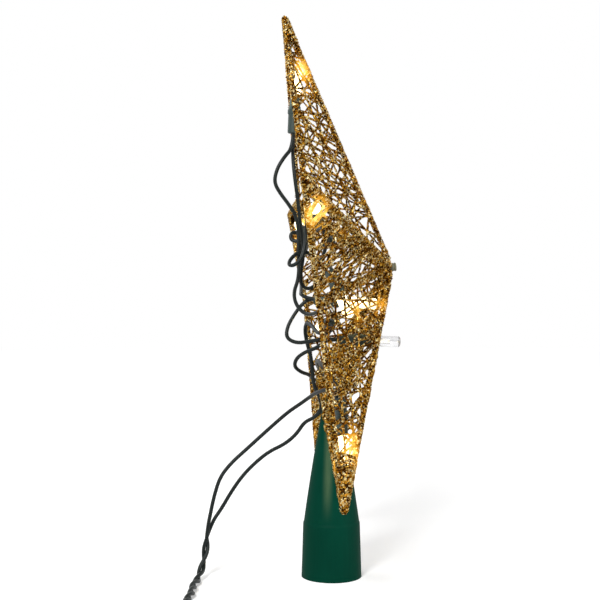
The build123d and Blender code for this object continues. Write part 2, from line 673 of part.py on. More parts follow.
body = block(plug_width, plug_length, plug_height)
body = fillet(body.edges().filter_by(Axis.Z), plug_round)
body = fillet(body.faces().sort_by(Axis.Z)[-1].edges(), plug_edge_round)
neck = Solid.make_cone(plug_neck_root_radius, plug_neck_radius, plug_neck_length + plug_neck_overlap,
                       Plane(origin=(0, -plug_neck_overlap, plug_middle_height), z_dir=(0, 1, 0)))
body = body + neck - rod(
    (0, plug_neck_length - plug_cord_seat - plug_cord_clearance, plug_middle_height),
    (0, 2 * plug_neck_length, plug_middle_height), pair_radius + plug_cord_clearance,
)
door_top = plug_height - door_setback
door_floor = door_top - door_thickness - door_lip_thickness
door_end = -plug_length + door_length  # the door's end nearest the cord
open_length = door_length + door_slot_extra
body = body - block(door_width + 2 * door_clearance, open_length, plug_height, 0, door_end + door_clearance,
                    door_floor - door_clearance)
body = body - block(door_width + 2 * door_lip + 2 * door_clearance, open_length, door_lip_thickness + 2 * door_clearance,
                    0, door_end + door_clearance, door_floor - door_clearance)
fuse_height = door_floor - door_clearance - fuse_radius - fuse_clearance
blade_foot = plug_middle_height - blade_drop - blade_width / 2
fuses = []
for side in (-1, 1):
    x = side * fuse_spacing / 2
    body = body - block(2 * (fuse_radius + fuse_clearance), fuse_length + 2 * fuse_clearance,
                        fuse_radius * 2 + fuse_clearance * 2 + 1, x, door_end - fuse_setback + fuse_clearance,
                        fuse_height - fuse_radius - fuse_clearance)
    fuses.append(rod((x, door_end - fuse_setback - fuse_length, fuse_height), (x, door_end - fuse_setback, fuse_height), fuse_radius))
    blade_x = side * blade_spacing / 2
    body = body - block(blade_thickness + 2 * blade_gap, blade_root + blade_gap + 1, blade_width + 2 * blade_gap,
                        blade_x, -plug_length + blade_root + blade_gap, blade_foot - blade_gap)
    body = body - block(outlet_slot_thickness, outlet_slot_depth, outlet_slot_width,
                        blade_x, 0, plug_middle_height - outlet_slot_width / 2)
write("plug_body", plug_plane * body.solid())
blades = [
    block(blade_thickness, blade_root + blade_length, blade_width, side * blade_spacing / 2,
          -plug_length + blade_root, blade_foot)
    for side in (-1, 1)
]
write("plug_blades", *[plug_plane * b for b in blades])
write("plug_fuses", *[plug_plane * f for f in fuses])
door = block(door_width, door_length, door_thickness + door_lip_thickness, 0, door_end, door_floor)
door = door + block(door_width + 2 * door_lip, door_length, door_lip_thickness, 0, door_end, door_floor)
for grip in range(door_grips):
    door = door + block(door_width - 2 * door_grip_margin, door_grip_width, door_grip_height, 0,
                        door_end - door_grip_setback - door_grip_spacing * grip, door_top)
write("fuse_door", plug_plane * door.solid())
write("lead_tail", route_tube("lead_tail", tail_route, pair_radius))


# ---- Cone, and the wire that carries the star ----

def cone_line(offset=0.0):
    """The bowed side of the cone, from its foot to its top, moved in by a wall."""
    return [
        (cone_foot_radius - offset, cone_foot_height), (cone_waist_radius - offset, cone_waist_height),
        (cone_top_radius - offset, cone_height),
    ]


with BuildSketch(Plane.XZ) as outer_section:
    with BuildLine():
        side = ThreePointArc(*cone_line())
        Polyline(
            side @ 1, (0, cone_height), (0, 0), (skirt_rim_radius, 0), (skirt_top_radius, skirt_height - skirt_shoulder_height),
            (skirt_top_radius - skirt_shoulder_width, skirt_height), side @ 0,
        )
    make_face()
cone = revolve(outer_section.sketch, Axis.Z).solid()
cone = fillet(cone.edges().filter_by(GeomType.CIRCLE).sort_by(Axis.Z)[-1], cone_top_round)
with BuildSketch(Plane.XZ) as inner_section:
    with BuildLine():
        side = ThreePointArc(*cone_line(cone_wall))
        Polyline(side @ 1, (0, cone_height), (0, -1), (socket_radius, -1), (socket_radius, socket_length), side @ 0)
    make_face()
inside = revolve(inner_section.sketch, Axis.Z).solid()
inside = inside & Pos(0, 0, -2) * Solid.make_cylinder(2 * skirt_rim_radius, cone_plug_height + 2)
cone = (cone - inside).solid()
hinge_bore = rod((-cone_foot_radius, 0, hinge_height), (cone_foot_radius, 0, hinge_height), wire_radius + hinge_clearance)
write("cone", (cone - hinge_bore).solid())

bottom_notch = notches[2]
clips = []


def clip_outline(gap, first_radius, second_radius, spacing):
    """The outline of a belt round two bars side by side, the first at the origin and the second along X."""
    bars = Circle(first_radius + gap).edges() + (Pos(spacing, 0) * Circle(second_radius + gap)).edges()
    return make_hull(bars)


mount_points = []
clip_spots = []
beside = yarn_radius + wire_radius + 2 * clip_gap
for tip in (tips[2], tips[3]):
    heading = (tip - bottom_notch).normalized()
    off = star_plane.z_dir * beside
    far, near = bottom_notch + heading * mount_run_end + off, bottom_notch + heading * mount_run_start + off
    mount_points.append([far, near])
    for distance in (mount_run_start + first_clip_in, mount_run_end - last_clip_in):
        across = Plane(origin=bottom_notch + heading * distance, x_dir=off, z_dir=heading)
        inner = clip_outline(clip_gap, yarn_radius, wire_radius, beside)
        outer = clip_outline(clip_gap + clip_wall, yarn_radius, wire_radius, beside)
        room = clip_outline(2 * clip_gap + clip_wall, yarn_radius, wire_radius, beside)
        clips.append(extrude(across.offset(-clip_width / 2) * (outer - inner), clip_width).solid())
        clip_spots.append(extrude(across.offset(-clip_width / 2 - clip_gap) * room, clip_width + 2 * clip_gap).solid())
mount_route = [
    *mount_points[0], Vector(-mount_wire_straight, 0, hinge_height), Vector(mount_wire_straight, 0, hinge_height),
    *reversed(mount_points[1]),
]
mount_path = FilletPolyline(*mount_route, radius=[mount_bend_radius] * 4)
write("mount_wire", sweep(Plane(origin=mount_route[0], z_dir=mount_route[1] - mount_route[0]) * Circle(wire_radius),
                          path=mount_path).solid())
write("mount_clips", *clips)


# ---- Nets, open where the front lamp and the clips pass through them ----

half = len(clip_spots) // 2
passages = {"net_lower_left_a": [front_hole, *clip_spots[:half]], "net_lower_right_b": clip_spots[half:]}
for name, solid in nets.items():
    for passage in passages.get(name, []):
        solid = max((solid - passage).solids(), key=lambda s: s.volume)
    write(name, solid)
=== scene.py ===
import math, random
import bpy, bmesh
import numpy as np
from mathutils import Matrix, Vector


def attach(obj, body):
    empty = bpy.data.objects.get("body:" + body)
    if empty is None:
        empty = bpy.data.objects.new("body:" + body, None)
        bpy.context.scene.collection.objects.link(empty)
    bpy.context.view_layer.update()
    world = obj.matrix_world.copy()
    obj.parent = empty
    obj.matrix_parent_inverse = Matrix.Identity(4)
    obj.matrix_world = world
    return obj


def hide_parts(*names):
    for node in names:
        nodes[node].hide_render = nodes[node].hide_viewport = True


# A lighted five-point star of glittered thread on a green cone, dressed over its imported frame.
# Places are given in millimetres, as in the part's own source, and turned to metres by mm.
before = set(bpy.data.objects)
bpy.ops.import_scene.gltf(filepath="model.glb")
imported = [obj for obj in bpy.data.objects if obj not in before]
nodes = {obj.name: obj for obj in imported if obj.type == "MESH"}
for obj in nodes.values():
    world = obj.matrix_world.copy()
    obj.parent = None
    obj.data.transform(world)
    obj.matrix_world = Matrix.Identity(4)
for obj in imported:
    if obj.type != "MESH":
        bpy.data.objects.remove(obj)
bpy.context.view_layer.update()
mm = 0.001
print("frame loaded:", len(nodes), "nodes")


# camera
view = {"place": (-661.4, 57.6, 170.1), "along": (0.99834, -0.05756, 0.0), "lens": 64.5, "sensor": 36}
bpy.ops.object.camera_add(location=Vector(view["place"]) * mm)
camera = bpy.context.object
camera.name = "photoCamera"
camera.rotation_mode = "QUATERNION"
camera.rotation_quaternion = Vector(view["along"]).to_track_quat("-Z", "Y")
camera.data.lens = view["lens"]
camera.data.sensor_width = view["sensor"]
camera.data.clip_start = 0.02
bpy.context.scene.camera = camera


# the star's own places
star = {"tipRadius": 160.0, "notchRadius": 61.0, "depth": 51.5, "lean": 5.5, "behindCone": 13.9, "height": 185.5,
        "leftBend": (0.0, 7.7, -6.6)}  # the left arm's point is bent back and down
armNames = ("top", "left", "lower_left", "lower_right", "right")
armAngles = [90 + 72 * k for k in range(5)]
lean = math.radians(star["lean"])
starUp = Vector((0, math.sin(lean), math.cos(lean)))
starFront = Vector((0, -math.cos(lean), math.sin(lean)))
starMiddle = Vector((0, star["behindCone"], star["height"]))


def starPoint(across, up, forward=0.0):
    return starMiddle + Vector((across, 0, 0)) + starUp * up + starFront * forward


def polar(radius, degrees):
    return radius * math.cos(math.radians(degrees)), radius * math.sin(math.radians(degrees))


def armPoint(k, outward, across=0.0, forward=0.0):
    x, y = polar(outward, armAngles[k])
    dx, dy = polar(across, armAngles[k] + 90)
    return starPoint(x + dx, y + dy, forward)


tips = [starPoint(*polar(star["tipRadius"], a)) for a in armAngles]
tips[1] += Vector(star["leftBend"])
notches = [starPoint(*polar(star["notchRadius"], a + 36)) for a in armAngles]
apex = starPoint(0, 0, star["depth"])


# lamps: where each holder's foot is, where its lens points, and how its two wires lie
lamp = {"holder": 14.5, "collar": 8.5, "lens": 15.0, "wireSpacing": 3.4, "wireInHolder": 3.0}
lampPlaces = {
    "top": (armPoint(0, 88.0, -2.0, -1.2), armPoint(0, 126.0, 0, 4.6), (1, 0, 0)),
    "left": ((-33.5, 14.6, 222.6), (-71.5, 15.2, 220.8), (0, 0, 1)),
    "lower_left": (armPoint(2, 91.0, 0, 7.0), armPoint(2, 129.0, 0, 4.1), (0, 1, 0)),
    "lower_right": (armPoint(3, 91.0, 0, 7.0), armPoint(3, 129.0, 0, 4.1), (0, 1, 0)),
    "right": (armPoint(4, 91.0, 0, 6.0), armPoint(4, 129.0, 0, 4.1), (0, 1, 0)),
    "upper_middle": ((-22, 4.5, 204.5), (15.5, -1.2, 208.3), (0, 0, 1)),
    "middle": ((-4.8, 0.9, 186.4), (-31.9, -7.4, 161.2), (0, 1, 0)),
    "forward": ((-6.0, 10.8, 170.6), (-17.6, -26.2, 167.6), (1, 0, 0)),
    "lower_middle": ((-24, 2.5, 156.4), (13.2, 6.3, 152.5), (0, 0, 1)),
    "front": ((-24, -0.9, 146.6), (-24, -38.9, 145.2), (1, 0, 0)),
}


def exitPoints(name, side, run=9.0):
    foot, aim, spread = (Vector(v) for v in lampPlaces[name])
    axis = (aim - foot).normalized()
    spread = (spread - axis * spread.dot(axis)).normalized()
    beside = foot + spread * side * lamp["wireSpacing"] / 2
    return [beside + axis * lamp["wireInHolder"], beside - axis * run]


# wiring: nine lengths from lamp to lamp, two leads, and the twisted pair with its plug
wiring = {"radius": 1.15, "pairRadius": 2.35, "strandOffset": 1.2, "twist": 26.0, "endGap": 0.35,
          "pairWireOffset": 1.25, "sides": 10}
pairStart = Vector((0, 76.8, 24.0))
pairHeading = Vector((0, 0.06, -1.0)).normalized()
routes = {
    "wire_1_top_to_lower_middle": [
        *exitPoints("top", -1),
        (-4.2, 29.5, 257.5), (-4.6, 34.0, 250.0), (-4.4, 35.6, 242.0), (-3.4, 31.8, 235.4), (-2.4, 26.2, 228.4),
        (-1.2, 21.6, 221.0), (-0.2, 20.2, 211.5), (0.4, 20.4, 201.0), (0.6, 20.0, 191.5), (-0.6, 20.6, 182.5),
        (-4.2, 23.6, 175.0), (-9.4, 22.8, 167.8), (-14.0, 18.2, 162.0), (-21.0, 13.4, 161.5), (-30.0, 10.8, 163.0),
        (-38.0, 9.6, 164.8), (-44.0, 8.6, 164.2), (-47.4, 5.4, 162.0), (-45.2, 2.2, 159.4), (-39.4, 1.6, 158.6),
        *reversed(exitPoints("lower_middle", 1, 8.0)),
    ],
    "wire_2_top_to_middle": [
        *exitPoints("top", 1, 10.0),
        (1.2, 22.8, 246.0), (2.6, 20.6, 232.0), (3.6, 19.2, 218.0), (4.2, 17.0, 205.5), (4.6, 17.4, 194.0),
        (4.6, 19.0, 186.5), (6.2, 18.4, 179.4), (9.8, 14.0, 176.6), (12.2, 8.4, 179.6), (12.0, 4.0, 186.2),
        (8.4, 2.2, 191.6), *reversed(exitPoints("middle", -1, 7.0)),
    ],
    "wire_3_middle_to_left": [
        *exitPoints("middle", 1, 6.0),
        (2.2, 9.0, 195.4), (-0.6, 14.4, 199.6), (-4.2, 20.2, 199.6), (-6.6, 25.2, 195.8), (-9.2, 27.2, 191.6),
        (-12.6, 24.4, 190.6), (-13.6, 19.6, 194.4), (-12.4, 17.2, 201.6), (-10.8, 16.6, 210.0), (-11.8, 16.0, 218.2),
        (-17.6, 15.4, 223.6), *reversed(exitPoints("left", 1, 8.0)),
    ],
    "wire_4_left_to_upper_middle": [
        *exitPoints("left", -1, 8.0),
        (-18.8, 13.6, 219.0), (-16.6, 12.4, 213.2), (-20.6, 11.6, 208.6), (-28.0, 11.2, 209.4), (-35.6, 10.4, 211.8),
        (-42.0, 8.6, 210.8), (-43.8, 6.4, 206.4), (-38.2, 5.6, 204.0), *reversed(exitPoints("upper_middle", 1, 8.0)),
    ],
    "wire_5_upper_middle_to_right": [
        *exitPoints("upper_middle", -1, 8.0),
        (-36.8, 7.0, 199.4), (-40.6, 9.0, 194.2), (-37.0, 11.4, 188.6), (-28.6, 12.2, 187.0), (-19.4, 12.0, 190.2),
        (-10.0, 11.8, 195.8), (-1.6, 11.6, 201.8), (4.8, 13.0, 206.2), (8.0, 18.6, 206.6), (9.4, 24.6, 207.0),
        (10.4, 24.8, 212.2), (11.4, 19.8, 212.6), (12.4, 19.2, 206.8), (16.4, 17.6, 200.8), (26.0, 15.8, 198.6),
        (39.0, 14.0, 200.6), (53.0, 12.2, 204.4), (66.0, 10.0, 207.4), *reversed(exitPoints("right", -1)),
    ],
    "wire_6_right_to_forward": [
        *exitPoints("right", 1),
        (62.0, 14.8, 202.0), (50.0, 16.2, 194.4), (37.0, 17.0, 186.4), (24.0, 17.2, 179.6), (13.2, 18.0, 176.0),
        (4.4, 18.6, 174.4), (-2.8, 19.2, 173.6), *reversed(exitPoints("forward", -1, 4.0)),
    ],
    "wire_7_forward_to_front": [
        *exitPoints("forward", 1, 4.0),
        (-3.2, 18.8, 167.2), (-4.4, 23.8, 160.4), (-6.2, 27.6, 153.6), (-8.6, 28.4, 147.0), (-14.2, 22.4, 144.0),
        (-19.4, 14.6, 145.4), *reversed(exitPoints("front", 1, 8.0)),
    ],
    "wire_8_front_to_lower_right": [
        *exitPoints("front", -1, 6.0),
        (-25.0, 10.6, 141.8), (-20.2, 16.8, 139.4), (-15.4, 22.4, 135.4), (-10.6, 23.8, 129.8), (-6.0, 18.8, 125.8),
        (1.2, 14.0, 124.2), (9.4, 11.4, 121.4), (19.0, 8.4, 119.0), (30.0, 4.6, 119.4), (40.0, 1.2, 121.4),
        *reversed(exitPoints("lower_right", -1)),
    ],
    "wire_9_lower_right_to_lower_left": [
        *exitPoints("lower_right", 1),
        (43.0, 4.4, 124.6), (30.0, 6.4, 127.4), (16.0, 8.0, 130.4), (2.0, 8.6, 133.2), (-12.0, 7.6, 131.4),
        (-26.0, 5.6, 128.8), (-40.0, 3.8, 125.2), *reversed(exitPoints("lower_left", -1)),
    ],
    "lead_upper": [
        *exitPoints("lower_left", 1, 7.0),
        (-45.0, 4.2, 119.0), (-35.0, 8.6, 117.2), (-24.0, 11.6, 114.8), (-14.0, 14.6, 111.4), (-8.0, 19.6, 107.0),
        (-4.0, 26.4, 102.0), (-1.6, 34.0, 95.2), (0.0, 43.6, 86.4), (0.6, 53.0, 77.8), (0.2, 61.4, 70.4),
        (-0.6, 68.4, 62.0), (-1.2, 72.0, 51.0), (-1.5, 74.4, 39.8), (-1.2, 76.2, 30.6),
        pairStart - pairHeading * wiring["endGap"] - Vector((wiring["pairWireOffset"], 0, 0)),
    ],
    "lead_lower": [
        *exitPoints("lower_middle", -1, 8.0),
        (-39.0, 2.4, 153.6), (-44.2, 5.2, 151.8), (-44.4, 9.6, 150.8), (-38.6, 12.0, 151.4), (-30.6, 13.2, 153.8),
        (-23.0, 15.2, 156.2), (-16.6, 16.8, 156.2), (-12.2, 17.2, 151.0),
        (-9.6, 15.6, 143.4), (-9.0, 13.2, 135.4), (-8.4, 12.4, 127.0), (-8.8, 11.9, 119.2), (-9.2, 8.2, 111.6),
        (-9.4, 6.4, 104.2), (-8.0, 10.8, 98.6), (-6.0, 17.2, 95.6), (-4.0, 21.8, 88.0), (-2.0, 29.0, 81.6),
        (0.6, 38.6, 76.8), (2.4, 47.4, 69.4), (3.4, 55.2, 61.2), (4.2, 61.8, 51.6), (3.8, 68.0, 41.0),
        (2.2, 73.4, 33.8), pairStart - pairHeading * wiring["endGap"] + Vector((wiring["pairWireOffset"], 0, 0)),
    ],
}


def cordCurve(name, points, radius=0.0, steps=12):  # a smooth line with these points as its control points
    curve = bpy.data.curves.new(name, "CURVE")
    curve.dimensions = "3D"
    spline = curve.splines.new("NURBS")
    spline.points.add(len(points) - 1)
    for point, place in zip(spline.points, points):
        point.co = (*(Vector(place) * mm), 1)
        point.radius = max(radius, 0.1) * mm  # the thickness is the points', because a curve's box counts it
    spline.order_u = 3
    spline.use_endpoint_u = True
    curve.resolution_u = steps
    curve.bevel_depth = 1.0 if radius else 0.0
    curve.bevel_resolution = 3
    curve.use_fill_caps = True
    piece = bpy.data.objects.new(name, curve)
    bpy.context.scene.collection.objects.link(piece)
    return piece


def linePoints(name, points, steps=12):  # points read from that smooth line
    guide = cordCurve(name, points, 0.0, steps)
    line = bpy.data.meshes.new_from_object(guide)
    places = [v.co.copy() for v in line.vertices]
    bpy.data.objects.remove(guide)
    bpy.data.meshes.remove(line)
    return places


def lineLength(points):
    return sum((b - a).length for a, b in zip(points, points[1:]))


cords = {}
for name, points in routes.items():
    piece = cordCurve(name + "_cord", points, wiring["radius"])
    cords[name] = piece
    length = lineLength(linePoints("measure", points))
    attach(piece, "star")
    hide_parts(name)

coil = {"centre": (-124.0, 58.0), "radius": 31.0, "pitch": 5.4, "turns": 3.25, "rise": 5.3, "perTurn": 16}


def coilPlace(turn):
    inward = min(turn, coil["turns"] - turn)
    radius = coil["radius"] - coil["pitch"] * inward
    climb = min(max((turn - coil["turns"] / 2) / 0.5 + 0.5, 0.0), 1.0)
    x, y = polar(radius, 90 + 360 * turn)
    height = wiring["pairRadius"] + coil["rise"] * climb * climb * (3 - 2 * climb)
    return coil["centre"][0] + x, coil["centre"][1] + y, height


floorHeight = wiring["pairRadius"]
pairPoints = [
    pairStart, pairStart + pairHeading * 8.0,
    (-2.6, 79.6, 6.4), (-12.0, 81.4, floorHeight), (-27.0, 84.0, floorHeight), (-45.0, 84.2, floorHeight),
    (-66.0, 87.4, floorHeight), (-92.0, 89.0, floorHeight), (-119.3, 89.0, floorHeight),
    *[coilPlace(t / coil["perTurn"]) for t in range(int(coil["turns"] * coil["perTurn"]) + 1)],
    (-155.0, 53.3, 7.65), (-155.0, 44.8, 7.65), (-157.4, 37.4, 7.2), (-159.0, 30.6, 6.5), (-159.0, 19.0, 6.5),
]


def selectOnly(*pieces):
    bpy.ops.object.select_all(action="DESELECT")
    for piece in pieces:
        piece.select_set(True)
    bpy.context.view_layer.objects.active = pieces[-1]


def threadMesh(name, runs, radius, sides=6):  # round threads along runs of (place in mm, thickness)
    curve = bpy.data.curves.new(name, "CURVE")
    curve.dimensions = "3D"
    for run in runs:
        spline = curve.splines.new("POLY")
        spline.points.add(len(run) - 1)
        for point, (place, thickness) in zip(spline.points, run):
            point.co = (*(Vector(place) * mm), 1)
            point.radius = thickness
    curve.bevel_depth = radius * mm
    curve.bevel_resolution = (sides - 4) // 2
    curve.use_fill_caps = True
    piece = bpy.data.objects.new(name, curve)
    bpy.context.scene.collection.objects.link(piece)
    selectOnly(piece)
    bpy.ops.object.convert(target="MESH")
    piece = bpy.context.object
    piece.name = name
    bpy.ops.object.shade_smooth()
    return piece


def carried(points, across):  # for each point of a line, two directions across it that don't twist
    frames = []
    for i, place in enumerate(points):
        heading = (points[min(i + 1, len(points) - 1)] - points[max(i - 1, 0)]).normalized()
        across = (across - heading * across.dot(heading)).normalized()
        frames.append((place, across, heading.cross(across)))
    return frames


pairLine = linePoints("pairLine", pairPoints, 8)
walked, strands = 0.0, ([], [])
pairFrames = carried(pairLine, Vector((1, 0, 0)))
for i, (place, u, v) in enumerate(pairFrames):
    if i:
        walked += (place - pairLine[i - 1]).length / mm
    angle = 2 * math.pi * walked / wiring["twist"]
    for strand, side in zip(strands, (0, math.pi)):
        away = u * math.cos(angle + side) + v * math.sin(angle + side)
        strand.append(((place + away * wiring["strandOffset"] * mm) / mm, 1.0))
pair = threadMesh("twistedPair", strands, wiring["radius"], wiring["sides"])
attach(pair, "star")
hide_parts("lead_pair", "lead_coil", "lead_tail")
print("cords made:", len(cords) + 1, "twisted pair", round(lineLength(pairLine), 3), "m")


# shader maths
class Sock:  # an output of a material's nodes: arithmetic on it adds Math nodes
    def __init__(self, tree, out=None):
        self.tree, self.out = tree, out

    def node(self, kind, settings=(), inputs=(), out=0):  # any node: settings first, then its sockets
        made = self.tree.nodes.new("ShaderNode" + kind)
        for name, value in dict(settings).items():
            if name == "stops":
                first, *between, last = value
                for element, (place, colour) in zip(made.color_ramp.elements, (first, last)):
                    element.position, element.color = place, (*colour, 1)
                for place, colour in between:
                    made.color_ramp.elements.new(place).color = (*colour, 1)
            else:
                setattr(made, name, value)
        for name, value in dict(inputs).items():
            if isinstance(value, Sock):
                self.tree.links.new(value.out, made.inputs[name])
            else:
                made.inputs[name].default_value = value
        return Sock(self.tree, made.outputs[out])

    def maths(self, operation, a, b):
        return self.node("Math", {"operation": operation}, {0: a, 1: b})

    def __add__(self, other):
        return self.maths("ADD", self, other)

    def __radd__(self, other):
        return self.maths("ADD", other, self)

    def __sub__(self, other):
        return self.maths("SUBTRACT", self, other)

    def __rsub__(self, other):
        return self.maths("SUBTRACT", other, self)

    def __mul__(self, other):
        return self.maths("MULTIPLY", self, other)

    def __rmul__(self, other):
        return self.maths("MULTIPLY", other, self)


def newMaterial(name):
    material = bpy.data.materials.new(name)
    material.use_nodes = True
    return material, Sock(material.node_tree), material.node_tree.nodes["Principled BSDF"]


def feed(shader, sockets):
    for name, value in sockets.items():
        if isinstance(value, Sock):
            value.tree.links.new(value.out, shader.inputs[name])
        else:
            shader.inputs[name].default_value = value


def mixed(sock, a, b, factor):
    return sock.node("Mix", {"data_type": "RGBA"}, {0: factor, 6: a, 7: b}, 2)


# glittered thread
goldTones = [
    (0.0, (0.010, 0.003, 0.0005)), (0.27, (0.040, 0.012, 0.001)), (0.42, (0.200, 0.076, 0.005)),
    (0.56, (0.410, 0.190, 0.014)), (0.69, (0.660, 0.420, 0.085)), (0.78, (1.0, 0.90, 0.54)),
]
glowTones = [
    (0.0, (0, 0, 0)), (0.2, (0.06, 0.022, 0.001)), (0.5, (0.50, 0.24, 0.02)), (0.8, (0.9, 0.56, 0.12)),
    (1.0, (1.0, 0.80, 0.42)),
]
glitter = {"grain": 1.05, "yarnGrain": 0.945, "tilt": 1.4, "roughness": 0.3, "metallic": 0.86, "glow": 1.3,
           "patchScale": 170.0, "specular": 0.15, "edgeTint": (1.0, 0.72, 0.30, 1)}  # grains in mm


def glitterMaterial(name, grain, brightness=0.0):  # each grain has its own tone and leans its own way
    material, sock, shader = newMaterial(name)
    place = sock.node("TexCoord", out="Object")
    cell = sock.node("TexVoronoi", {}, {"Vector": place, "Scale": 1 / (grain * mm)}, "Color")
    grainTone = sock.node("SeparateColor", {}, {"Color": cell}, "Red")
    patch = sock.node("TexNoise", {}, {"Vector": place, "Scale": glitter["patchScale"], "Detail": 3.0}, "Fac")
    level = grainTone * 0.86 + (patch - 0.5) * 0.55 + 0.02 + brightness
    colour = sock.node("ValToRGB", {"stops": goldTones}, {"Fac": level}, "Color")
    lean = sock.node("VectorMath", {"operation": "SUBTRACT"}, {0: cell, 1: (0.5, 0.5, 0.5)})
    lean = sock.node("VectorMath", {"operation": "SCALE"}, {0: lean, "Scale": glitter["tilt"]})
    facing = sock.node("NewGeometry", out="Normal")
    facing = sock.node("VectorMath", {"operation": "ADD"}, {0: facing, 1: lean})
    facing = sock.node("VectorMath", {"operation": "NORMALIZE"}, {0: facing})
    # painted lamplight: threads near the lit lamps glow by emission, read from the glow attribute
    glow = sock.node("Attribute", {"attribute_name": "glow"}, out="Fac")
    light = sock.node("ValToRGB", {"stops": glowTones}, {"Fac": glow}, "Color")
    feed(shader, {
        "Base Color": colour, "Metallic": glitter["metallic"], "Roughness": glitter["roughness"],
        "Normal": facing, "Specular IOR Level": glitter["specular"], "Specular Tint": glitter["edgeTint"],
        "Emission Color": light, "Emission Strength": glitter["glow"],
    })
    return material


netMaterial = glitterMaterial("glitteredNet", glitter["grain"])
# the yarn's copy of the glitter is painted 0.03 lighter, a painted highlight for the wound edges
yarnMaterial = glitterMaterial("glitteredYarn", glitter["yarnGrain"], 0.03)

lamplight = {"reach": 13.0, "core": 4.6, "weaker": {"forward": 0.45, "right": 0.8},
             "beamOnNet": ((-123.5, 18.0, 214.2), 0.75)}  # where the left lamp's beam meets the net, and its share
lensCentres = []  # of the lit lamps: middle in mm, heading and share of light
for name, (foot, aim, _) in lampPlaces.items():
    foot, aim = Vector(foot), Vector(aim)
    reach = lamp["holder"] + lamp["collar"] + lamp["lens"] * 0.5
    if name != "front":
        heading = (aim - foot).normalized()
        lensCentres.append((foot + heading * reach, heading, lamplight["weaker"].get(name, 1.0)))
lensCentres.append((Vector(lamplight["beamOnNet"][0]), Vector((1, 0, 0)), lamplight["beamOnNet"][1]))


def lightUp(piece):  # painted lamplight: how brightly the lamps would shine on each point of a piece, kept as the glow attribute
    mesh = piece.data
    places = np.empty(len(mesh.vertices) * 3)
    mesh.vertices.foreach_get("co", places)
    places = places.reshape(-1, 3) / mm
    glow = np.zeros(len(places))
    for centre, axis, share in lensCentres:
        centre, axis = np.array(centre), np.array(axis)
        offset = places - centre
        along = np.clip(offset @ axis, -lamp["lens"] / 2, lamp["lens"] / 2)
        distance = np.linalg.norm(offset - along[:, None] * axis, axis=1)
        nearness = (lamplight["reach"] - distance) / (lamplight["reach"] - lamplight["core"])
        glow = np.maximum(glow, share * np.clip(nearness, 0, 1) ** 2)
    layer = mesh.attributes.new("glow", "FLOAT", "POINT")
    layer.data.foreach_set("value", glow)


def crusted(piece, height, size):  # the rough coat of grains on a thread
    texture = bpy.data.textures.new(piece.name + "Crust", "CLOUDS")
    texture.noise_scale = size * mm
    texture.noise_depth = 1
    shift = piece.modifiers.new("crust", "DISPLACE")
    shift.texture = texture
    shift.texture_coords = "LOCAL"
    shift.strength = height * mm
    shift.mid_level = 0.45
    selectOnly(piece)
    bpy.ops.object.modifier_apply(modifier="crust")


flake = {"lean": 0.45, "lift": 0.08, "sizes": (0.55, 1.2)}


def sprinkled(piece, count, size, seed):  # loose flakes of glitter lying at all angles on a piece
    rng = random.Random(seed)
    work = bmesh.new()
    work.from_mesh(piece.data)
    work.verts.ensure_lookup_table()
    spots = [(v.co.copy(), v.normal.copy()) for v in rng.sample(list(work.verts), min(count, len(work.verts)))]
    for place, normal in spots:
        across = Vector([rng.gauss(0, 1) for _ in range(3)]).normalized()
        tilted = (normal + Vector([rng.gauss(0, flake["lean"]) for _ in range(3)])).normalized()
        u = (across - tilted * across.dot(tilted)).normalized()
        v = tilted.cross(u)
        half = size * mm * rng.uniform(*flake["sizes"]) / 2
        middle = place + normal * flake["lift"] * mm
        corners = [middle + u * half, middle + v * half * rng.uniform(0.6, 1.0),
                   middle - u * half * rng.uniform(0.7, 1.0), middle - v * half]
        work.faces.new([work.verts.new(c) for c in corners])
    work.to_mesh(piece.data)
    work.free()


# nets: the threads of the ten facets
net = {
    "edge": 1.1, "pitch": 9.2, "spread": 0.42, "headings": (12.0, 68.0, 127.0), "headingSpread": 15.0,
    "stopBeforeTip": 10.6, "yarnRadius": 1.75, "gap": 0.25, "radius": 0.6, "step": 1.0, "wander": 0.35,
    "zigzags": {"top": 1, "left": 1, "lower_left": 2, "lower_right": 1, "right": 1}, "zigzagStep": (9.0, 19.0),
    "zigzagRadius": 0.8, "crust": (0.55, 1.1), "flakes": (1500, 0.85),
}


def clipped(polygon, normal, level):
    kept = []
    for a, b in zip(polygon, polygon[1:] + polygon[:1]):
        da = a[0] * normal[0] + a[1] * normal[1] - level
        db = b[0] * normal[0] + b[1] * normal[1] - level
        if da >= 0:
            kept.append(a)
        if (da > 0) != (db > 0) and da != db:
            share = da / (da - db)
            kept.append((a[0] + (b[0] - a[0]) * share, a[1] + (b[1] - a[1]) * share))
    return kept


def insetOutline(polygon, margin):
    inner = polygon
    for a, b in zip(polygon, polygon[1:] + polygon[:1]):
        length = math.dist(a, b)
        normal = ((a[1] - b[1]) / length, (b[0] - a[0]) / length)
        inner = clipped(inner, normal, a[0] * normal[0] + a[1] * normal[1] + margin)
    return inner


def chord(polygon, normal, level):
    ends = []
    for a, b in zip(polygon, polygon[1:] + polygon[:1]):
        da = a[0] * normal[0] + a[1] * normal[1] - level
        db = b[0] * normal[0] + b[1] * normal[1] - level
        if (da > 0) != (db > 0):
            share = da / (da - db)
            ends.append(Vector((a[0] + (b[0] - a[0]) * share, a[1] + (b[1] - a[1]) * share)))
    return ends if len(ends) == 2 else None


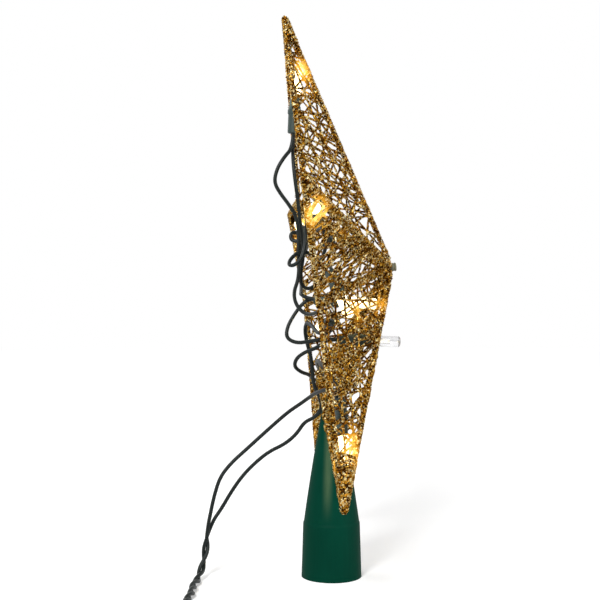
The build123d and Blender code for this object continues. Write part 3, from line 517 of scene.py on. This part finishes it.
def straightThreads(outline, reachOutline, seed):  # the same wound lines as the solid net's
    rng = random.Random(seed)
    chords = []
    middle = [sum(p[i] for p in outline) / len(outline) for i in (0, 1)]
    for heading in net["headings"]:
        normal = polar(1.0, heading + 90)
        reach = [p[0] * normal[0] + p[1] * normal[1] for p in outline]
        level = min(reach) + net["pitch"] * rng.uniform(0.3, 0.9)
        while level < max(reach):
            tilted = polar(1.0, heading + 90 + rng.uniform(-net["headingSpread"], net["headingSpread"]))
            shift = level - (middle[0] * normal[0] + middle[1] * normal[1])
            through = (middle[0] + normal[0] * shift, middle[1] + normal[1] * shift)
            ends = chord(reachOutline, tilted, through[0] * tilted[0] + through[1] * tilted[1])
            if ends:
                chords.append(ends)
            level += net["pitch"] * (1 + rng.uniform(-net["spread"], net["spread"]))
    return chords


def zigzagThreads(corners, rng):  # a thread wound back and forth between ridge and outline, out from the apex
    tip, apexCorner, notch = corners
    ridgeLength, edgeLength = (apexCorner - tip).length, (notch - tip).length
    ridgeAt, edgeAt = ridgeLength - rng.uniform(3, 12), edgeLength - rng.uniform(-6, 6)
    chords, onRidge = [], True
    here = tip + (apexCorner - tip).normalized() * ridgeAt
    while min(ridgeAt, edgeAt) > 16:
        step = rng.uniform(*net["zigzagStep"])
        if onRidge:
            edgeAt = min(edgeAt, ridgeAt * edgeLength / ridgeLength + 4) - step
            there = tip + (notch - tip).normalized() * max(min(edgeAt, edgeLength - 2), 12)
        else:
            ridgeAt = min(ridgeAt, edgeAt * ridgeLength / edgeLength + 4) - step
            there = tip + (apexCorner - tip).normalized() * max(ridgeAt, 12)
        chords.append((here, there))
        here, onRidge = there, not onRidge
    return chords


def facet(k, notch):
    tip = tips[k]
    normal = (notch - tip).cross(apex - tip).normalized()
    if normal.dot(starFront) < 0:
        normal = -normal
    along = (apex - tip).normalized()
    across = normal.cross(along)
    flat = [Vector(((p - tip).dot(along), (p - tip).dot(across))) for p in (tip, apex, notch)]
    return tip, along, across, normal, flat


def signedArea(polygon):
    return sum(a[0] * b[1] - b[0] * a[1] for a, b in zip(polygon, polygon[1:] + polygon[:1])) / 2


def threadRun(a, b, lift, origin, along, across, normal, rng, thickness=1.0):
    count = max(int((b - a).length / net["step"]), 4)
    phase, bend = rng.uniform(0, 6.28), rng.uniform(-1, 1) * net["wander"]
    sideways = Vector((-(b - a).y, (b - a).x)).normalized()
    run = []
    for i in range(count + 1):
        share = i / count
        shift = bend * math.sin(math.pi * share) + 0.12 * math.sin(phase + 9 * share)
        flat = a.lerp(b, share) + sideways * shift
        height = lift * math.sin(math.pi * min(share * 3, (1 - share) * 3, 0.5))
        height += 0.1 * math.sin(phase * 2 + 13 * share)
        width = thickness * rng.uniform(0.82, 1.22)
        run.append((origin + along * flat.x + across * flat.y + normal * height, width))
    return run


windows = [  # where a lamp or holder pushes the threads apart: middle, heading and radius
    ((-125.0, 18.0, 216.4), (0.995, -0.045, 0.085), 7.4),
    ((-121.0, 17.2, 209.8), (0.995, -0.045, 0.085), 4.6),
    ((-93.8, 10.0, 201.4), (0.993, -0.086, 0.117), 3.9),
    ((-80.0, -0.5, 84.2), (0.975, -0.14, -0.16), 2.4),
    ((-55.0, 2.0, 179.0), (0.996, -0.091, 0.014), 4.4),
    ((-54.1, 3.8, 157.1), (0.996, -0.088, -0.021), 3.8),
    ((-47.6, -7.1, 147.2), (0.994, -0.105, -0.037), 2.6),
]
parting = {"depth": 24, "share": 0.92}


def parted(run, facing=None):  # the same run with its points pushed out of the windows, within the net
    moved = []
    for place, width in run:
        for middle, heading, radius in windows:
            heading = Vector(heading).normalized()
            offset = place - Vector(middle)
            along = offset.dot(heading)
            offset -= heading * along
            if offset.length < radius and abs(along) < parting["depth"]:
                push = offset.normalized() * (radius - offset.length) * parting["share"]
                if facing:
                    push -= facing * push.dot(facing)
                place = place + push
        moved.append((place, width))
    return moved


netPieces = []
for k, arm in enumerate(armNames):
    for side, notch in (("a", notches[k]), ("b", notches[k - 1])):
        seed = len(netPieces) + 1
        origin, along, across, normal, corners = facet(k, notch)
        ring = [tuple(c) for c in corners]
        if signedArea(ring) < 0:
            ring.reverse()
        outline = insetOutline(ring, net["yarnRadius"] + net["gap"])
        inwards = ((corners[1] + corners[2]) / 2).normalized()
        outline = clipped(outline, inwards, net["stopBeforeTip"])
        reachOutline = clipped(insetOutline(ring, net["edge"]), inwards, net["stopBeforeTip"] - 3)
        rng = random.Random(100 + seed)
        runs = [
            threadRun(a, b, rng.uniform(-0.5, 0.5), origin, along, across, normal, rng)
            for a, b in straightThreads(outline, reachOutline, seed)
        ]
        for _ in range(net["zigzags"][arm]):
            runs += [
                threadRun(a, b, rng.uniform(-0.7, 0.7), origin, along, across, normal, rng, net["zigzagRadius"])
                for a, b in zigzagThreads(corners, rng)
            ]
        runs = [parted(run, normal) for run in runs]
        piece = threadMesh(f"net_{arm}_{side}_threads", runs, net["radius"])
        crusted(piece, *net["crust"])
        sprinkled(piece, *net["flakes"], seed)
        lightUp(piece)
        piece.data.materials.append(netMaterial)
        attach(piece, "star")
        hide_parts(f"net_{arm}_{side}")
        netPieces.append(piece)
print("nets threaded:", len(netPieces), "triangles", sum(len(p.data.polygons) * 2 for p in netPieces))


# yarn wound on the frame wires
yarn = {"core": 1.28, "strand": 0.52, "pitch": 1.05, "perTurn": 8, "jitter": 0.18, "lumpEvery": 4, "lumps": 0.28,
        "crust": (0.4, 0.9), "flakeSize": 0.8, "flakes": {"outline": 9000, "ridge": 6500, "valley": 3500},
        "fromTip": {"outline": 9.0, "ridge": 9.5}, "fromNotch": 2.4, "fromApex": 4.6,
        "topLumps": ((33.0, 43.0, 2.1), (52.0, 57.0, 1.8)), "lumpPitch": 0.8}  # where the yarn goes back over itself


def windRound(start, end, first, last, rng, core=yarn["core"], pitch=yarn["pitch"]):  # a strand wound on a wire
    heading = (end - start).normalized()
    u = heading.orthogonal().normalized()
    v = heading.cross(u)
    run, angle, distance = [], rng.uniform(0, 6.28), first
    swell = [rng.uniform(0.0, 1.0) for _ in range(int((last - first) / yarn["lumpEvery"]) + 3)]
    while distance < last:
        place = (distance - first) / yarn["lumpEvery"]
        lump = swell[int(place)] * (1 - place % 1) + swell[int(place) + 1] * (place % 1)
        radius = core * (0.92 + yarn["lumps"] * lump ** 3) + rng.uniform(-1, 1) * yarn["jitter"] * 0.5
        run.append((start + heading * distance + (u * math.cos(angle) + v * math.sin(angle)) * radius,
                    rng.uniform(0.85, 1.2)))
        angle += 2 * math.pi / yarn["perTurn"]
        distance += pitch / yarn["perTurn"] * rng.uniform(0.5, 1.5)
    return run


def windingPiece(name, runs, node, seed, strand, crust, flakes):
    piece = threadMesh(name, runs, strand)
    crusted(piece, *crust)
    sprinkled(piece, *flakes, seed)
    lightUp(piece)
    piece.data.materials.append(yarnMaterial)
    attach(piece, "star")
    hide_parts(node)


def yarnPiece(part, runs, seed):
    flakes = (yarn["flakes"][part], yarn["flakeSize"])
    windingPiece(part + "Windings", runs, part + "_yarn", seed, yarn["strand"], yarn["crust"], flakes)


rng = random.Random(21)
outlineRuns = []
for k in range(5):
    for notch in (notches[k], notches[k - 1]):
        last = (notch - tips[k]).length - yarn["fromNotch"]
        outlineRuns.append(windRound(tips[k], notch, yarn["fromTip"]["outline"], last, rng))
for near, far, core in yarn["topLumps"]:
    outlineRuns.append(windRound(tips[0], notches[0], near, far, rng, core, yarn["lumpPitch"]))
yarnPiece("outline", outlineRuns, 31)
ridgeRuns = [windRound(t, apex, yarn["fromTip"]["ridge"], (apex - t).length - yarn["fromApex"], rng) for t in tips]
yarnPiece("ridge", ridgeRuns, 32)
valleyRuns = [windRound(n, apex, yarn["fromNotch"], (apex - n).length - yarn["fromApex"], rng) for n in notches]
yarnPiece("valley", valleyRuns, 33)
print("yarn wound on the frame")


# bound tips
tipWinding = {"start": 0.4, "reach": ((10, 17), (6, 12), (17, 31), (14, 27), (10, 19)), "pitch": 0.85,
              "openPitch": 3.2, "perTurn": 14, "strand": 0.62, "narrowing": 18, "bluntness": 1.5,
              "halfWidth": 1.35, "halfDepth": 1.3, "looseness": 2.2, "crust": (0.5, 1.0),
              "flakes": (4200, 0.85)}  # each arm's reach: how far it is dense, and where it ends


def windTip(k, rng):
    outward = ((tips[k] - notches[k]).normalized() + (tips[k] - notches[k - 1]).normalized()).normalized()
    forward = (starFront - outward * starFront.dot(outward)).normalized()
    sideways = outward.cross(forward)
    run, angle, distance = [], rng.uniform(0, 6.28), tipWinding["start"]
    lean = [0.0, 0.0]
    dense, end = tipWinding["reach"][k]
    while distance < end:
        loose = max(0.0, (distance - dense) / (end - dense))
        if len(run) % tipWinding["perTurn"] == 0:
            lean = [rng.uniform(-1, 1) * tipWinding["looseness"] * loose for _ in range(2)]
        halfWidth = tipWinding["halfWidth"] + distance * math.tan(math.radians(tipWinding["narrowing"]))
        depth = distance * star["depth"] / star["tipRadius"]
        middle = depth / 2 + 0.1
        halfDepth = tipWinding["halfDepth"] + depth / 2
        c, s = math.cos(angle), math.sin(angle)
        swell = min(max(distance / tipWinding["bluntness"], 0.25), 1.0)
        place = tips[k] - outward * (distance + lean[0] * c + lean[1] * s)
        place = place + sideways * halfWidth * c * swell + forward * (middle + halfDepth * s * swell)
        run.append((place, rng.uniform(0.85, 1.2)))
        pitch = tipWinding["pitch"] + (tipWinding["openPitch"] - tipWinding["pitch"]) * loose
        angle += 2 * math.pi / tipWinding["perTurn"]
        distance += pitch / tipWinding["perTurn"] * rng.uniform(0.6, 1.4)
    return parted(run)


rng = random.Random(22)
tipRuns = [windTip(k, rng) for _ in range(2) for k in range(5)]
windingPiece("tipWindings", tipRuns, "bound_tips", 41, tipWinding["strand"], tipWinding["crust"],
             tipWinding["flakes"])
print("tips bound")


# finishes of the carried-over parts
def paint(material, *names):
    for name in names:
        for slot in nodes[name].material_slots:
            slot.material = material


def coneGreen():
    material, sock, shader = newMaterial("satinGreenCone")
    place = sock.node("TexCoord", out="Object")
    height = sock.node("SeparateXYZ", {}, {0: place}, "Z")
    cloud = sock.node("TexNoise", {}, {"Vector": place, "Scale": 45.0, "Detail": 4.0}, "Fac")
    streaks = sock.node("Mapping", {}, {"Vector": place, "Scale": (900.0, 900.0, 30.0)})
    streaks = sock.node("TexNoise", {}, {"Vector": streaks, "Scale": 1.0, "Detail": 3.0}, "Fac")
    grain = sock.node("TexNoise", {}, {"Vector": place, "Scale": 2600.0, "Detail": 2.0}, "Fac")
    # painted light: besides the random cloud and streak tone, the green gets lighter towards the top
    tone = cloud * 0.5 + streaks * 0.3 + height * 1.2
    colour = mixed(sock, (0.0001, 0.024, 0.014, 1), (0.0002, 0.044, 0.026, 1), tone)
    across = sock.node("SeparateXYZ", {}, {0: place}, "Y")
    outward = sock.node("SeparateXYZ", {}, {0: place}, "X")
    # masks that place the painted highlight streak: near a line down the −x side, on the upper cone, towards −x
    beside = sock.node("MapRange", {"interpolation_type": "SMOOTHSTEP"},
                       {0: sock.maths("ABSOLUTE", across + outward * 0.26, 0.0), 1: 0.0, 2: 0.0042, 3: 1.0, 4: 0.0})
    upper = sock.node("MapRange", {"interpolation_type": "SMOOTHSTEP"}, {0: height, 1: 0.034, 2: 0.062})
    near = sock.node("MapRange", {}, {0: outward, 1: -0.006, 2: -0.002, 3: 1.0, 4: 0.0})
    paintedHighlight = beside * upper * near * (0.45 + streaks * 0.5)
    colour = mixed(sock, colour, (0.060, 0.105, 0.052, 1), paintedHighlight)  # a painted highlight: a paler streak down the upper cone on its −x side
    roughness = 0.42 + cloud * 0.12 + grain * 0.08
    bump = sock.node("Bump", {}, {"Height": grain + streaks * 0.6, "Strength": 0.12, "Distance": 0.0002})
    feed(shader, {"Base Color": colour, "Roughness": roughness, "Normal": bump, "Specular IOR Level": 0.03})
    return material


def wireGreen():
    material, sock, shader = newMaterial("darkGreenWire")
    place = sock.node("TexCoord", out="Object")
    cloud = sock.node("TexNoise", {}, {"Vector": place, "Scale": 120.0, "Detail": 3.0}, "Fac")
    grain = sock.node("TexNoise", {}, {"Vector": place, "Scale": 3200.0, "Detail": 1.0}, "Fac")
    colour = mixed(sock, (0.004, 0.007, 0.006, 1), (0.012, 0.016, 0.015, 1), cloud)
    bump = sock.node("Bump", {}, {"Height": grain, "Strength": 0.15, "Distance": 0.0001})
    feed(shader, {"Base Color": colour, "Roughness": 0.30 + cloud * 0.16, "Normal": bump,
                  "Specular IOR Level": 0.16})
    return material


def holderGreen():
    material, sock, shader = newMaterial("holderPlastic")
    place = sock.node("TexCoord", out="Object")
    cloud = sock.node("TexNoise", {}, {"Vector": place, "Scale": 160.0, "Detail": 3.0}, "Fac")
    grain = sock.node("TexNoise", {}, {"Vector": place, "Scale": 2400.0, "Detail": 2.0}, "Fac")
    colour = mixed(sock, (0.010, 0.022, 0.018, 1), (0.028, 0.046, 0.040, 1), cloud)
    bump = sock.node("Bump", {}, {"Height": grain, "Strength": 0.25, "Distance": 0.0002})
    feed(shader, {"Base Color": colour, "Roughness": 0.42 + cloud * 0.2, "Normal": bump, "Specular IOR Level": 0.35})
    return material


def plainMetal(name, dark, pale, roughness, metallic=1.0):
    material, sock, shader = newMaterial(name)
    place = sock.node("TexCoord", out="Object")
    cloud = sock.node("TexNoise", {}, {"Vector": place, "Scale": 300.0, "Detail": 4.0}, "Fac")
    grain = sock.node("TexNoise", {}, {"Vector": place, "Scale": 4000.0, "Detail": 1.0}, "Fac")
    bump = sock.node("Bump", {}, {"Height": grain, "Strength": 0.2, "Distance": 0.0001})
    feed(shader, {"Base Color": mixed(sock, (*dark, 1), (*pale, 1), cloud), "Roughness": roughness + cloud * 0.15,
                  "Metallic": metallic, "Normal": bump})
    return material


def clearPlastic(name, light, strength, tint):
    material, sock, shader = newMaterial(name)
    place = sock.node("TexCoord", out="Object")
    cloud = sock.node("TexNoise", {}, {"Vector": place, "Scale": 220.0, "Detail": 2.0}, "Fac")
    feed(shader, {"Base Color": (*tint, 1), "Roughness": 0.05 + cloud * 0.08, "Transmission Weight": 0.9, "IOR": 1.49,
                  "Emission Color": (*light, 1), "Emission Strength": strength})
    return material


gold = plainMetal("goldWire", (0.16, 0.08, 0.015), (0.42, 0.25, 0.07), 0.3)
paint(gold, "outline_wires", "ridge_wires", "valley_wires")
paint(yarnMaterial, "notch_welds", "mount_clips")
paint(plainMetal("apexKnot", (0.030, 0.034, 0.018), (0.17, 0.15, 0.085), 0.45, 0.0), "apex_knot")
paint(coneGreen(), "cone")
paint(plainMetal("mountWire", (0.10, 0.055, 0.02), (0.26, 0.17, 0.08), 0.35), "mount_wire")
paint(holderGreen(), *[n for n in nodes if n.startswith("lamp_holder_")])
baseMaterial = plainMetal("lampBase", (0.012, 0.035, 0.026), (0.035, 0.065, 0.052), 0.4, 0.0)
paint(baseMaterial, "lamp_bases", "front_lamp_base")
paint(plainMetal("brass", (0.40, 0.25, 0.08), (0.72, 0.50, 0.20), 0.25), "holder_contacts", "plug_blades")
paint(clearPlastic("litLens", (1.0, 0.84, 0.46), 1.25, (1.0, 0.96, 0.86)), "lamp_lenses")
paint(clearPlastic("frontLens", (1.0, 0.97, 0.9), 0.0, (0.97, 0.97, 0.98)), "front_lamp_lens")
paint(clearPlastic("litPost", (1.0, 0.76, 0.34), 3.0, (1.0, 0.9, 0.6)), "led_posts")
paint(clearPlastic("frontPost", (1.0, 0.9, 0.7), 0.3, (0.9, 0.9, 0.85)), "front_led_post")
paint(plainMetal("plugPlastic", (0.004, 0.022, 0.013), (0.010, 0.040, 0.025), 0.38, 0.0), "plug_body", "fuse_door")
paint(plainMetal("fuseGlass", (0.45, 0.48, 0.46), (0.8, 0.82, 0.8), 0.12, 0.3), "plug_fuses")
wireMaterial = wireGreen()
for piece in [*cords.values(), pair]:
    piece.data.materials.append(wireMaterial)
print("finishes made")


# floor, light and background
studio = {"floor": 6.0, "nearLight": 0.22, "farLight": 0.62, "ambient": 0.42, "key": 12.0, "fill": 5.0, "back": 3.0}
bpy.ops.mesh.primitive_plane_add(size=studio["floor"], location=(0, 0, 0))
floor = bpy.context.object
floor.name = "floor"
floorMaterial, sock, shader = newMaterial("paleFloor")
lightPath = sock.node("LightPath", out="Is Camera Ray")
place = sock.node("TexCoord", out="Object")
outward = sock.node("VectorMath", {"operation": "LENGTH"}, {0: place}, "Value")
whiter = sock.node("MapRange", {}, {0: outward, 1: 0.1, 2: 1.0, 3: studio["nearLight"], 4: studio["farLight"]})
feed(shader, {"Base Color": (0.9, 0.9, 0.9, 1), "Roughness": 0.9, "Specular IOR Level": 0.0,
              "Emission Color": (1, 1, 1, 1), "Emission Strength": lightPath * whiter})
floor.data.materials.append(floorMaterial)

world = bpy.data.worlds.new("paleStudio")
bpy.context.scene.world = world
world.use_nodes = True
sock = Sock(world.node_tree)
seen = sock.node("LightPath", out="Is Camera Ray")
glossy = sock.node("LightPath", out="Is Glossy Ray")
through = sock.node("LightPath", out="Is Transmission Ray")
white = sock.node("Math", {"operation": "MAXIMUM"}, {0: seen, 1: glossy})
white = sock.node("Math", {"operation": "MAXIMUM"}, {0: white, 1: through})
background = world.node_tree.nodes["Background"]
background.inputs["Color"].default_value = (1, 1, 1, 1)
strength = white * (1 - studio["ambient"]) + studio["ambient"]
world.node_tree.links.new(strength.out, background.inputs["Strength"])


def softLight(name, place, aim, size, power):
    bpy.ops.object.light_add(type="AREA", location=place)
    light = bpy.context.object
    light.name = name
    light.data.shape = "DISK"
    light.data.size = size
    light.data.energy = power
    light.rotation_mode = "QUATERNION"
    light.rotation_quaternion = (Vector(aim) - Vector(place)).to_track_quat("-Z", "Y")


softLight("keyLight", (-0.9, 0.35, 0.75), (0, 0, 0.18), 0.35, studio["key"])
softLight("fillLight", (-0.5, -0.9, 0.45), (0, 0, 0.18), 0.6, studio["fill"])
softLight("backLight", (0.5, 0.7, 0.7), (0, 0, 0.2), 0.6, studio["back"])

bpy.context.scene.view_settings.view_transform = "Standard"
print("studio ready")
